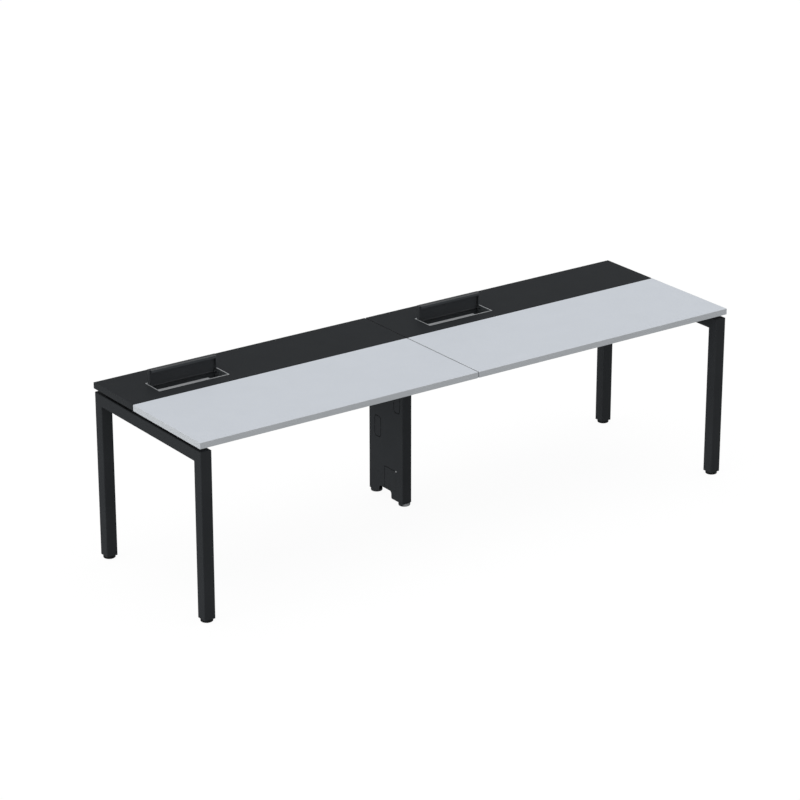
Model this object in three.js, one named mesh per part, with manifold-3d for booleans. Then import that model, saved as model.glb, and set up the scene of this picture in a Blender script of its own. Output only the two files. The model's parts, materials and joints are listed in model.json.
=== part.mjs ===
// Benching desk for two: two seats side by side on portal end frames and a cable-riser middle leg.
// Millimetres, +Z up. The origin is on the floor, under the centre of the worktops.
// +X runs along the desk to the sitter's right, and +Y runs from the sitter to the rear edge.

import * as THREE from 'three';
import { mergeVertices } from 'three/addons/utils/BufferGeometryUtils.js';
import Module from 'manifold-3d';

const wasm = await Module();
wasm.setup();

// Worktops
const DESK_HEIGHT = 750;
const SEAT_WIDTH = 1305;
const SEAT_GAP = 4;
const FRONT_BOARD_DEPTH = 490;
const REAR_BOARD_DEPTH = 300;
const BOARD_GAP = 3;
const BOARD_THICKNESS = 25;
const EDGE_BAND = 2;
const EDGE_BAND_CORNER = 3;
const EDGE_BAND_ARRIS = 1;

// Square-tube frames
const TUBE = 50;
const TUBE_WALL = 2;
const TUBE_CORNER = 4;
const FRAME_INSET = 3;
const SHADOW_GAP = 15;
const WELD_GAP = 0.3;

// Rails that hold the boards above the frames
const RAIL_WIDTH = 30;
const RAIL_SHEET = 2;
const RAIL_END_INSET = 70;
const MID_RAIL_WIDTH = 50;

// Long beams
const BEAM_WIDTH = 30;
const BEAM_WALL = 2;
const BEAM_CORNER = 3;
const FRONT_BEAM_INSET = 196;
const REAR_BEAM_INSET = 76;
const END_PLATE_WIDTH = 70;
const END_PLATE_THICKNESS = 4;
const END_PLATE_WELD_INSET = 1;
const END_PLATE_HOLE_RADIUS = 9;
const MID_TUBE_OVERHANG = 12;
const MID_CAP_LIP = 3;
const MID_CAP_PLUG = 14;
const SPACER_LENGTH = 60;
const SPACER_HOLE_RADIUS = 3;

// Levelling feet
const FOOT_HEIGHT = 12;
const PAD_RADIUS = 25;
const PAD_CHAMFER = 2;
const PAD_SOLE = 5;
const FOOT_CLEARANCE = 0.3;
const STUD_RADIUS = 5;
const STUD_LENGTH = 55;
const STUD_CHAMFER = 1;
const INSERT_HEIGHT = 30;

// Cable riser
const RISER_THICKNESS = 45;
const RISER_DEPTH = 241.5;
const RISER_FROM_REAR_EDGE = 60;
const RISER_SHEET = 1.5;
const RISER_BEND = 3;
const RISER_RETURN = 14;
const RISER_CLEARANCE = 12.5;
const RISER_HEAD_PLATE = 4;
const RISER_FRONT_FOOT_INSET = 18;
const RISER_REAR_FOOT_INSET = 22;
const RISER_BRACKET_HEIGHT = 40;
const RISER_BRACKET_SHEET = 3;
const RISER_BUSH_RADIUS = 9;
const RISER_BUSH_HEIGHT = 22;
const ARCH_WIDTH = 88;
const ARCH_HEIGHT = 32.5;
const ARCH_OFFSET = 9;
const ARCH_TOP_RADIUS = 14;
const ARCH_FOOT_RADIUS = 6;
const HATCH_WIDTH = 82;
const HATCH_HEIGHT = 92;
const HATCH_BASE = 54;
const HATCH_FRONT_INSET = 49;
const HATCH_CORNER = 3;
const HATCH_LIP = 7;
const HATCH_SLIT = 2.5;
const HATCH_FIT = 0.4;
const KNOCKOUT_WIDTH = 46;
const KNOCKOUT_HEIGHT = 95;
const KNOCKOUT_CORNER = 15;
const KNOCKOUT_SLIT = 3;
const KNOCKOUT_TAB = 6;
const FRONT_KNOCKOUT_INSET = 19;
const REAR_KNOCKOUT_INSET = 39.5;
const REAR_KNOCKOUT_BASE = 262;
const FRONT_KNOCKOUT_BASE = 408;
const ENTRY_WIDTH = 92;
const ENTRY_HEIGHT = 60;
const ENTRY_CORNER = 12;
const ENTRY_DROP = 25;

// Cable trays
const TRAY_SIDE_MARGIN = 7.5;
const TRAY_DEPTH = 75;
const TRAY_SHEET = 1.5;
const TRAY_BEND = 4;
const TRAY_FLANGE = 14;
const TRAY_OUTER_INSET = 114;
const TRAY_RISER_GAP = 48;
const TRAY_SLOT_LENGTH = 40;
const TRAY_SLOT_WIDTH = 9;
const TRAY_SLOT_PITCH = 110;

// Cable flaps
const FLAP_LENGTH = 326;
const FLAP_DEPTH = 108;
const FLAP_FROM_SEAT_LEFT = 159;
const FLAP_FROM_REAR_EDGE = 131.5;
const BEZEL_RIM = 4.5;
const BEZEL_FRONT_RIM = 20;
const BEZEL_REAR_RIM = 7;
const BEZEL_FLANGE = 1.2;
const BEZEL_CORNER = 3;
const BEZEL_ARRIS = 0.4;
const BEZEL_WALL = 2;
const BEZEL_SKIRT = 46;
const CUTOUT_CLEARANCE = 0.5;
const NOTCH_LENGTH = 84;
const NOTCH_RIM = 5;
const LID_SHEET = 3;
const LID_ROLL_ANGLE = 45;
const LID_RIM_DEPTH = 15;
const LID_RIM_STEP = 0.3;
const LID_LIP_DEPTH = 24;
const LID_LIP_STEP = 1;
const LID_LIP_END_INSET = 6;
const LID_HOOK = 10;
const LID_CLEARANCE = 0.8;
const LID_END_CLEARANCE = 2.3;
const LID_ARRIS = 1;
const LID_STOP_CLEARANCE = 0.3;
const PIVOT_DEPTH = 10;
const PIN_RADIUS = 2;
const PIN_CLEARANCE = 0.3;
const LUG_RADIUS = 5;
const LUG_LENGTH = 8;
const REST_LEDGE_WIDTH = 6;
const REST_LEDGE_LENGTH = 14;
const REST_LEDGE_HEIGHT = 6;

// How finely round stretches are divided
const CORNER_STEPS = 2;
const WIDE_CORNER_STEPS = 3;
const HOLE_STEPS = 8;
const BORE_STEPS = 16;
const PAD_STEPS = 28;
const MERGE_DISTANCE = 1e-4;

// Places worked out from the sizes above
const DESK_LENGTH = 2 * SEAT_WIDTH + SEAT_GAP;
const DESK_DEPTH = FRONT_BOARD_DEPTH + BOARD_GAP + REAR_BOARD_DEPTH;
const FRONT_EDGE = -DESK_DEPTH / 2;
const REAR_EDGE = DESK_DEPTH / 2;
const BOARD_BASE = DESK_HEIGHT - BOARD_THICKNESS;
const FRAME_TOP = BOARD_BASE - SHADOW_GAP;
const FRAME_BASE = FRAME_TOP - TUBE;
const FRAME_HALF_DEPTH = DESK_DEPTH / 2 - FRAME_INSET;
const LEG_X = DESK_LENGTH / 2 - FRAME_INSET - TUBE / 2;
const LEG_Y = FRAME_HALF_DEPTH - TUBE / 2;
const FRONT_BEAM_Y = FRONT_EDGE + FRONT_BEAM_INSET;
const REAR_BEAM_Y = REAR_EDGE - REAR_BEAM_INSET;
const MID_TUBE_FRONT = FRONT_BEAM_Y - END_PLATE_WIDTH / 2 - MID_TUBE_OVERHANG;
const MID_TUBE_REAR = REAR_BEAM_Y + END_PLATE_WIDTH / 2 + MID_TUBE_OVERHANG;
const FLAP_Y = REAR_EDGE - FLAP_FROM_REAR_EDGE - FLAP_DEPTH / 2;
const STUD_BORE_RADIUS = STUD_RADIUS + FOOT_CLEARANCE;

const SEATS = [
  { name: 'left', side: -1, left: -DESK_LENGTH / 2 },
  { name: 'right', side: 1, left: SEAT_GAP / 2 },
];
const ROWS = [
  { name: 'front', side: -1, beamY: FRONT_BEAM_Y },
  { name: 'rear', side: 1, beamY: REAR_BEAM_Y },
];

const GREY_LAMINATE = material(0xc7ccd4, 0.45, 0);
const BLACK_LAMINATE = material(0x303234, 0.5, 0);
const BLACK_COAT = material(0x2b2d2f, 0.55, 0.2);
const BARE_ALUMINIUM = material(0x9a9c9e, 0.35, 0.9);
const DARK_ALUMINIUM = material(0x26282a, 0.45, 0.5);
const BLACK_PLASTIC = material(0x161718, 0.6, 0);
const GREY_PLASTIC = material(0x808284, 0.6, 0);
const PLATED_STEEL = material(0xa8aaac, 0.35, 0.9);

function material(color, roughness, metalness) {
  return new THREE.MeshStandardMaterial({ color, roughness, metalness });
}

// Joining and cutting closed shapes
function solidOf(geometry) {
  const bare = geometry.clone();
  bare.deleteAttribute('normal');
  bare.deleteAttribute('uv');
  const merged = mergeVertices(bare, MERGE_DISTANCE);
  const vertProperties = new Float32Array(merged.attributes.position.array);
  const triVerts = new Uint32Array(merged.index.array);
  return new wasm.Manifold(new wasm.Mesh({ numProp: 3, vertProperties, triVerts }));
}

function geometryOf(solid) {
  const mesh = solid.getMesh();
  const geometry = new THREE.BufferGeometry();
  geometry.setAttribute('position', new THREE.BufferAttribute(new Float32Array(mesh.vertProperties), 3));
  geometry.setIndex(new THREE.BufferAttribute(new Uint32Array(mesh.triVerts), 1));
  const faceted = geometry.toNonIndexed();
  faceted.computeVertexNormals();
  return faceted;
}

function combine(parts, cuts = []) {
  let solid = solidOf(parts[0]);
  for (const part of parts.slice(1)) {
    solid = solid.add(solidOf(part));
  }
  for (const cut of cuts) {
    solid = solid.subtract(solidOf(cut));
  }
  return geometryOf(solid);
}

// Outlines
function roundedRectangle(path, x0, y0, x1, y1, radius) {
  path.absarc(x1 - radius, y0 + radius, radius, -Math.PI / 2, 0);
  path.absarc(x1 - radius, y1 - radius, radius, 0, Math.PI / 2);
  path.absarc(x0 + radius, y1 - radius, radius, Math.PI / 2, Math.PI);
  path.absarc(x0 + radius, y0 + radius, radius, Math.PI, 1.5 * Math.PI);
  return path;
}

function rectangle(x0, y0, x1, y1) {
  const path = new THREE.Shape();
  path.moveTo(x0, y0);
  path.lineTo(x1, y0);
  path.lineTo(x1, y1);
  path.lineTo(x0, y1);
  path.closePath();
  return path;
}

function tubeSection(width, height, wall, corner) {
  const section = roundedRectangle(new THREE.Shape(), -width / 2, -height / 2, width / 2, height / 2, corner);
  const inner = Math.max(corner - wall, wall / 4);
  const hole = new THREE.Path();
  roundedRectangle(hole, wall - width / 2, wall - height / 2, width / 2 - wall, height / 2 - wall, inner);
  section.holes.push(hole);
  return section;
}

// Outlines pushed out along one of the desk's axes. The outline's own two axes are
// x and y along Z, y and z along X, and x and z along Y.
function extrude(outline, depth, steps) {
  return new THREE.ExtrudeGeometry(outline, { depth, bevelEnabled: false, curveSegments: steps });
}

function alongZ(outline, z0, z1, steps = CORNER_STEPS) {
  return extrude(outline, z1 - z0, steps).translate(0, 0, z0);
}

function alongX(outline, x0, x1, steps = CORNER_STEPS) {
  const turn = new THREE.Matrix4().makeBasis(
    new THREE.Vector3(0, 1, 0),
    new THREE.Vector3(0, 0, 1),
    new THREE.Vector3(1, 0, 0),
  );
  return extrude(outline, x1 - x0, steps).applyMatrix4(turn).translate(x0, 0, 0);
}

function alongY(outline, y0, y1, steps = CORNER_STEPS) {
  const turn = new THREE.Matrix4().makeBasis(
    new THREE.Vector3(1, 0, 0),
    new THREE.Vector3(0, 0, 1),
    new THREE.Vector3(0, -1, 0),
  );
  return extrude(outline, y1 - y0, steps).applyMatrix4(turn).translate(0, y1, 0);
}

function block(x0, x1, y0, y1, z0, z1) {
  return alongZ(rectangle(x0, y0, x1, y1), z0, z1);
}

function roundBar(radius, z0, z1) {
  return new THREE.CylinderGeometry(radius, radius, z1 - z0, BORE_STEPS)
    .rotateX(Math.PI / 2)
    .translate(0, 0, (z0 + z1) / 2);
}

function crossBar(radius, x0, x1, y, z) {
  return new THREE.CylinderGeometry(radius, radius, x1 - x0, BORE_STEPS)
    .rotateZ(Math.PI / 2)
    .translate((x0 + x1) / 2, y, z);
}

// A slab whose upper and lower arrises are rounded
function softSlab(outline, z0, z1, arris) {
  const options = {
    depth: z1 - z0 - 2 * arris,
    bevelThickness: arris,
    bevelSize: arris,
    bevelOffset: -arris,
    bevelSegments: 2,
    curveSegments: CORNER_STEPS,
  };
  return new THREE.ExtrudeGeometry(outline, options).translate(0, 0, z0 + arris);
}

const desk = new THREE.Group();

function place(parent, name, geometry, finish, x = 0, y = 0, z = 0) {
  const mesh = new THREE.Mesh(geometry, finish);
  mesh.name = name;
  mesh.position.set(x, y, z);
  parent.add(mesh);
  return mesh;
}

// Worktop boards and their edge bands
function flapCentreX(seat) {
  return seat.left + FLAP_FROM_SEAT_LEFT + FLAP_LENGTH / 2;
}

// The bezel's skirt passes through the board: its outer faces, seen from the flap's centre
const SKIRT_HALF_LENGTH = FLAP_LENGTH / 2 - BEZEL_RIM + BEZEL_WALL;
const SKIRT_FRONT = NOTCH_RIM - FLAP_DEPTH / 2 - BEZEL_WALL;
const SKIRT_REAR = FLAP_DEPTH / 2 - BEZEL_REAR_RIM + BEZEL_WALL;

function flapCutout(seat) {
  const x = flapCentreX(seat);
  return block(
    x - SKIRT_HALF_LENGTH - CUTOUT_CLEARANCE,
    x + SKIRT_HALF_LENGTH + CUTOUT_CLEARANCE,
    FLAP_Y + SKIRT_FRONT - CUTOUT_CLEARANCE,
    FLAP_Y + SKIRT_REAR + CUTOUT_CLEARANCE,
    BOARD_BASE - BOARD_THICKNESS,
    DESK_HEIGHT + BOARD_THICKNESS,
  );
}

function makeBoards(seat) {
  const x0 = seat.left;
  const x1 = seat.left + SEAT_WIDTH;
  const boards = [
    { row: 'front', y0: FRONT_EDGE, y1: FRONT_EDGE + FRONT_BOARD_DEPTH, finish: GREY_LAMINATE },
    { row: 'rear', y0: REAR_EDGE - REAR_BOARD_DEPTH, y1: REAR_EDGE, finish: BLACK_LAMINATE },
  ];
  for (const { row, y0, y1, finish } of boards) {
    const core = rectangle(x0 + EDGE_BAND, y0 + EDGE_BAND, x1 - EDGE_BAND, y1 - EDGE_BAND);
    const cuts = row === 'rear' ? [flapCutout(seat)] : [];
    place(desk, `${seat.name}_${row}_board`, combine([alongZ(core, BOARD_BASE, DESK_HEIGHT)], cuts), finish);

    const outline = roundedRectangle(new THREE.Shape(), x0, y0, x1, y1, EDGE_BAND_CORNER);
    const slab = softSlab(outline, BOARD_BASE, DESK_HEIGHT, EDGE_BAND_ARRIS);
    const inside = alongZ(core, BOARD_BASE - BOARD_THICKNESS, DESK_HEIGHT + BOARD_THICKNESS);
    place(desk, `${seat.name}_${row}_edge_band`, combine([slab], [inside]), finish);
  }
}

// End frames: two legs and a cross tube, mitred where they meet
function mitred(section, startAt, endAt) {
  const geometry = extrude(section, 1, CORNER_STEPS);
  const position = geometry.attributes.position;
  for (let i = 0; i < position.count; i += 1) {
    const across = position.getY(i);
    const end = position.getZ(i) > 0.5 ? endAt(across) : startAt(across);
    position.setZ(i, end);
  }
  geometry.computeVertexNormals();
  return geometry;
}

function makeEndFrame(seat) {
  const section = tubeSection(TUBE, TUBE, TUBE_WALL, TUBE_CORNER);
  for (const row of ROWS) {
    const slope = (y) => FRAME_TOP - WELD_GAP - TUBE / 2 + row.side * y;
    const leg = mitred(section, () => FOOT_HEIGHT, slope);
    place(desk, `${seat.name}_${row.name}_leg`, leg, BLACK_COAT, seat.side * LEG_X, row.side * LEG_Y, 0);
  }
  const reach = (z) => FRAME_HALF_DEPTH - TUBE / 2 + z;
  const cross = mitred(section, (z) => -reach(z), reach);
  const turn = new THREE.Matrix4().makeBasis(
    new THREE.Vector3(-1, 0, 0),
    new THREE.Vector3(0, 0, 1),
    new THREE.Vector3(0, 1, 0),
  );
  cross.applyMatrix4(turn);
  place(desk, `${seat.name}_cross_tube`, cross, BLACK_COAT, seat.side * LEG_X, 0, FRAME_TOP - TUBE / 2);
}

// A rail folded as an upturned channel, open below
function railSection(width) {
  const section = new THREE.Shape();
  section.moveTo(-width / 2, 0);
  section.lineTo(RAIL_SHEET - width / 2, 0);
  section.lineTo(RAIL_SHEET - width / 2, SHADOW_GAP - RAIL_SHEET);
  section.lineTo(width / 2 - RAIL_SHEET, SHADOW_GAP - RAIL_SHEET);
  section.lineTo(width / 2 - RAIL_SHEET, 0);
  section.lineTo(width / 2, 0);
  section.lineTo(width / 2, SHADOW_GAP);
  section.lineTo(-width / 2, SHADOW_GAP);
  section.closePath();
  return section;
}

function makeEndRail(seat) {
  const half = FRAME_HALF_DEPTH - RAIL_END_INSET;
  const rail = alongY(railSection(RAIL_WIDTH), -half, half);
  place(desk, `${seat.name}_end_rail`, rail, BLACK_COAT, seat.side * LEG_X, 0, FRAME_TOP);
}

// Middle cross tube on the riser, with its rail and end caps
function makeMidTube() {
  const tube = alongY(tubeSection(TUBE, TUBE, TUBE_WALL, TUBE_CORNER), MID_TUBE_FRONT, MID_TUBE_REAR);
  place(desk, 'mid_cross_tube', tube, BLACK_COAT, 0, 0, FRAME_TOP - TUBE / 2);

  const rail = alongY(railSection(MID_RAIL_WIDTH), MID_TUBE_FRONT, MID_TUBE_REAR);
  place(desk, 'mid_rail', rail, BLACK_COAT, 0, 0, FRAME_TOP);

  const inner = TUBE / 2 - TUBE_WALL;
  const innerCorner = Math.max(TUBE_CORNER - TUBE_WALL, TUBE_WALL / 4);
  const face = roundedRectangle(new THREE.Shape(), -TUBE / 2, -TUBE / 2, TUBE / 2, TUBE / 2, TUBE_CORNER);
  const plug = roundedRectangle(new THREE.Shape(), -inner, -inner, inner, inner, innerCorner + FOOT_CLEARANCE);
  for (const row of ROWS) {
    const end = row.side < 0 ? MID_TUBE_FRONT : MID_TUBE_REAR;
    const outer = end + row.side * MID_CAP_LIP;
    const root = end + row.side * MID_CAP_LIP / 2;
    const inward = end - row.side * MID_CAP_PLUG;
    const cap = combine([
      alongY(face, Math.min(end, outer), Math.max(end, outer)),
      alongY(plug, Math.min(root, inward), Math.max(root, inward)),
    ]);
    place(desk, `mid_tube_${row.name}_cap`, cap, BLACK_PLASTIC, 0, 0, FRAME_TOP - TUBE / 2);
  }
}

// Long beams between the end frames and the middle cross tube
function makeBeams(seat) {
  const inner = TUBE / 2;
  const outer = LEG_X - TUBE / 2;
  const x0 = seat.side < 0 ? -outer : inner;
  const x1 = seat.side < 0 ? -inner : outer;
  const tube = alongX(
    tubeSection(BEAM_WIDTH, TUBE, BEAM_WALL, BEAM_CORNER),
    x0 + END_PLATE_THICKNESS / 2,
    x1 - END_PLATE_THICKNESS / 2,
  );
  const plateTop = TUBE / 2 - END_PLATE_WELD_INSET;
  const plateOutline = rectangle(-END_PLATE_WIDTH / 2, -plateTop, END_PLATE_WIDTH / 2, plateTop);
  const hole = new THREE.Path();
  hole.absarc(0, 0, END_PLATE_HOLE_RADIUS, 0, 2 * Math.PI, true);
  plateOutline.holes.push(hole);
  const plates = [
    alongX(plateOutline, x0, x0 + END_PLATE_THICKNESS, HOLE_STEPS),
    alongX(plateOutline, x1 - END_PLATE_THICKNESS, x1, HOLE_STEPS),
  ];
  const beam = combine([tube, ...plates]);

  const spacerOutline = rectangle(-SPACER_LENGTH / 2, -BEAM_WIDTH / 2, SPACER_LENGTH / 2, BEAM_WIDTH / 2);
  const screwHole = new THREE.Path();
  screwHole.absarc(0, 0, SPACER_HOLE_RADIUS, 0, 2 * Math.PI, true);
  spacerOutline.holes.push(screwHole);
  const spacer = alongZ(spacerOutline, 0, SHADOW_GAP, HOLE_STEPS);

  for (const row of ROWS) {
    place(desk, `${seat.name}_${row.name}_beam`, beam, BLACK_COAT, 0, row.beamY, FRAME_TOP - TUBE / 2);
    const middle = (x0 + x1) / 2;
    place(desk, `${seat.name}_${row.name}_beam_spacer`, spacer, BLACK_PLASTIC, middle, row.beamY, FRAME_TOP);
  }
}

// Levelling feet: a round pad on a threaded stud
function revolve(points, steps) {
  const profile = points.map(([radius, z]) => new THREE.Vector2(radius, z));
  return new THREE.LatheGeometry(profile, steps).rotateX(Math.PI / 2);
}

const PAD = revolve([
  [0, 0],
  [PAD_RADIUS - PAD_CHAMFER, 0],
  [PAD_RADIUS, PAD_CHAMFER],
  [PAD_RADIUS, FOOT_HEIGHT - FOOT_CLEARANCE - PAD_CHAMFER],
  [PAD_RADIUS - PAD_CHAMFER, FOOT_HEIGHT - FOOT_CLEARANCE],
  [STUD_BORE_RADIUS, FOOT_HEIGHT - FOOT_CLEARANCE],
  [STUD_BORE_RADIUS, PAD_SOLE - FOOT_CLEARANCE],
  [0, PAD_SOLE - FOOT_CLEARANCE],
], PAD_STEPS);

const STUD = revolve([
  [0, PAD_SOLE],
  [STUD_RADIUS, PAD_SOLE],
  [STUD_RADIUS, PAD_SOLE + STUD_LENGTH - STUD_CHAMFER],
  [STUD_RADIUS - STUD_CHAMFER, PAD_SOLE + STUD_LENGTH],
  [0, PAD_SOLE + STUD_LENGTH],
], BORE_STEPS);

function makeFoot(name, x, y, padFinish) {
  place(desk, `${name}_foot_pad`, PAD, padFinish, x, y, 0);
  place(desk, `${name}_foot_stud`, STUD, PLATED_STEEL, x, y, 0);
}

function makeLegFeet(seat) {
  const half = TUBE / 2 - TUBE_WALL;
  const corner = Math.max(TUBE_CORNER - TUBE_WALL, TUBE_WALL / 4) + FOOT_CLEARANCE;
  const outline = roundedRectangle(new THREE.Shape(), -half, -half, half, half, corner);
  const plug = alongZ(outline, FOOT_HEIGHT, FOOT_HEIGHT + INSERT_HEIGHT);
  const insert = combine([plug], [roundBar(STUD_BORE_RADIUS, 0, FOOT_HEIGHT + 2 * INSERT_HEIGHT)]);
  for (const row of ROWS) {
    const x = seat.side * LEG_X;
    const y = row.side * LEG_Y;
    place(desk, `${seat.name}_${row.name}_leg_insert`, insert, BLACK_PLASTIC, x, y, 0);
    makeFoot(`${seat.name}_${row.name}`, x, y, BLACK_PLASTIC);
  }
}

// Cable riser: a folded sheet case, a cover, a hatch and two foot brackets.
// Outlines on its wide faces are drawn in y and z.
const RISER_REAR = REAR_EDGE - RISER_FROM_REAR_EDGE;
const RISER_FRONT = RISER_REAR - RISER_DEPTH;
const RISER_WALL_X = -RISER_THICKNESS / 2;
const RISER_COVER_X = RISER_THICKNESS / 2 - RISER_SHEET;
const RISER_RETURN_X = RISER_COVER_X - RISER_SHEET;

function riserSection() {
  const inset = RISER_SHEET;
  const innerBend = RISER_BEND - inset;
  const bendX = RISER_WALL_X + RISER_BEND;
  const section = new THREE.Shape();
  section.moveTo(RISER_COVER_X, RISER_FRONT);
  section.lineTo(RISER_COVER_X, RISER_FRONT + RISER_RETURN);
  section.lineTo(RISER_RETURN_X, RISER_FRONT + RISER_RETURN);
  section.lineTo(RISER_RETURN_X, RISER_FRONT + inset);
  section.absarc(bendX, RISER_FRONT + RISER_BEND, innerBend, 1.5 * Math.PI, Math.PI, true);
  section.absarc(bendX, RISER_REAR - RISER_BEND, innerBend, Math.PI, Math.PI / 2, true);
  section.lineTo(RISER_RETURN_X, RISER_REAR - inset);
  section.lineTo(RISER_RETURN_X, RISER_REAR - RISER_RETURN);
  section.lineTo(RISER_COVER_X, RISER_REAR - RISER_RETURN);
  section.lineTo(RISER_COVER_X, RISER_REAR);
  section.absarc(bendX, RISER_REAR - RISER_BEND, RISER_BEND, Math.PI / 2, Math.PI);
  section.absarc(bendX, RISER_FRONT + RISER_BEND, RISER_BEND, Math.PI, 1.5 * Math.PI);
  section.closePath();
  return section;
}

// The cable arch at the floor: round at its top corners and flared at its feet
function archOutline() {
  const middle = FLAP_Y + ARCH_OFFSET;
  const y0 = middle - ARCH_WIDTH / 2;
  const y1 = middle + ARCH_WIDTH / 2;
  const top = RISER_CLEARANCE + ARCH_HEIGHT;
  const flare = RISER_CLEARANCE + ARCH_FOOT_RADIUS;
  const floor = 0;
  const outline = new THREE.Shape();
  outline.moveTo(y0 - ARCH_FOOT_RADIUS, floor);
  outline.lineTo(y1 + ARCH_FOOT_RADIUS, floor);
  outline.absarc(y1 + ARCH_FOOT_RADIUS, flare, ARCH_FOOT_RADIUS, -Math.PI / 2, -Math.PI, true);
  outline.absarc(y1 - ARCH_TOP_RADIUS, top - ARCH_TOP_RADIUS, ARCH_TOP_RADIUS, 0, Math.PI / 2);
  outline.absarc(y0 + ARCH_TOP_RADIUS, top - ARCH_TOP_RADIUS, ARCH_TOP_RADIUS, Math.PI / 2, Math.PI);
  outline.absarc(y0 - ARCH_FOOT_RADIUS, flare, ARCH_FOOT_RADIUS, 0, -Math.PI / 2, true);
  outline.closePath();
  return outline;
}

// A knock-out is outlined by slits, with tabs of sheet left half way up its two sides
function knockoutSlits(y0, z0) {
  const y1 = y0 + KNOCKOUT_WIDTH;
  const z1 = z0 + KNOCKOUT_HEIGHT;
  const outline = roundedRectangle(new THREE.Shape(), y0, z0, y1, z1, KNOCKOUT_CORNER);
  const island = new THREE.Path();
  const s = KNOCKOUT_SLIT;
  roundedRectangle(island, y0 + s, z0 + s, y1 - s, z1 - s, KNOCKOUT_CORNER - s);
  outline.holes.push(island);
  const x0 = RISER_WALL_X - RISER_SHEET;
  const x1 = RISER_WALL_X + 2 * RISER_SHEET;
  const middle = (z0 + z1) / 2;
  const ring = alongX(outline, x0, x1, WIDE_CORNER_STEPS);
  const tabs = block(x0, x1, y0 - s, y1 + s, middle - KNOCKOUT_TAB / 2, middle + KNOCKOUT_TAB / 2);
  return combine([ring], [tabs]);
}

function entryOutline() {
  const top = FRAME_BASE - ENTRY_DROP;
  return roundedRectangle(
    new THREE.Shape(),
    FLAP_Y - ENTRY_WIDTH / 2,
    top - ENTRY_HEIGHT,
    FLAP_Y + ENTRY_WIDTH / 2,
    top,
    ENTRY_CORNER,
  );
}

// The hatch fits closely in its window in front and below, and leaves a slit behind and above.
// A lip behind the case holds it at the two close edges.
const HATCH_FRONT = RISER_FRONT + HATCH_FRONT_INSET;
const HATCH_REAR = HATCH_FRONT + HATCH_WIDTH;
const HATCH_TOP = HATCH_BASE + HATCH_HEIGHT;

function hatchWindow() {
  return roundedRectangle(new THREE.Shape(), HATCH_FRONT, HATCH_BASE, HATCH_REAR, HATCH_TOP, HATCH_CORNER);
}

function hatchPlate() {
  return roundedRectangle(
    new THREE.Shape(),
    HATCH_FRONT + HATCH_FIT,
    HATCH_BASE + HATCH_FIT,
    HATCH_REAR - HATCH_SLIT,
    HATCH_TOP - HATCH_SLIT,
    HATCH_CORNER,
  );
}

function hatchLip() {
  const outline = new THREE.Shape();
  outline.moveTo(HATCH_FRONT - HATCH_LIP, HATCH_BASE - HATCH_LIP);
  outline.lineTo(HATCH_REAR - 2 * HATCH_LIP, HATCH_BASE - HATCH_LIP);
  outline.lineTo(HATCH_REAR - 2 * HATCH_LIP, HATCH_BASE + HATCH_LIP);
  outline.lineTo(HATCH_FRONT + HATCH_LIP, HATCH_BASE + HATCH_LIP);
  outline.lineTo(HATCH_FRONT + HATCH_LIP, HATCH_TOP + HATCH_LIP);
  outline.lineTo(HATCH_FRONT - HATCH_LIP, HATCH_TOP + HATCH_LIP);
  outline.closePath();
  return outline;
}

function makeRiser() {
  const wallInside = RISER_WALL_X + RISER_SHEET;
  const through = [RISER_WALL_X - RISER_SHEET, RISER_WALL_X + 2 * RISER_SHEET];
  const headOutline = roundedRectangle(
    new THREE.Shape(),
    RISER_WALL_X + RISER_SHEET / 2,
    RISER_FRONT + RISER_SHEET / 2,
    RISER_RETURN_X + RISER_SHEET / 2,
    RISER_REAR - RISER_SHEET / 2,
    RISER_BEND - RISER_SHEET / 2,
  );
  const headPlate = alongZ(headOutline, FRAME_BASE - RISER_HEAD_PLATE, FRAME_BASE, WIDE_CORNER_STEPS);
  const body = combine(
    [alongZ(riserSection(), RISER_CLEARANCE, FRAME_BASE, WIDE_CORNER_STEPS), headPlate],
    [
      alongX(archOutline(), ...through, WIDE_CORNER_STEPS),
      alongX(hatchWindow(), ...through),
      alongX(entryOutline(), ...through, WIDE_CORNER_STEPS),
      knockoutSlits(RISER_REAR - REAR_KNOCKOUT_INSET - KNOCKOUT_WIDTH, REAR_KNOCKOUT_BASE),
      knockoutSlits(RISER_FRONT + FRONT_KNOCKOUT_INSET, FRONT_KNOCKOUT_BASE),
    ],
  );
  place(desk, 'riser_case', body, BLACK_COAT);

  const coverOutline = rectangle(RISER_FRONT, RISER_CLEARANCE, RISER_REAR, FRAME_BASE);
  const coverOuter = RISER_COVER_X + RISER_SHEET;
  const coverEntry = alongX(
    entryOutline(),
    RISER_COVER_X - RISER_SHEET,
    coverOuter + RISER_SHEET,
    WIDE_CORNER_STEPS,
  );
  const cover = combine([alongX(coverOutline, RISER_COVER_X, coverOuter)], [coverEntry]);
  place(desk, 'riser_cover', cover, BLACK_COAT);

  const hatch = combine([
    alongX(hatchPlate(), RISER_WALL_X, wallInside + RISER_SHEET / 2),
    alongX(hatchLip(), wallInside, wallInside + RISER_SHEET),
  ]);
  place(desk, 'riser_hatch', hatch, BLACK_COAT);
}

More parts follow.
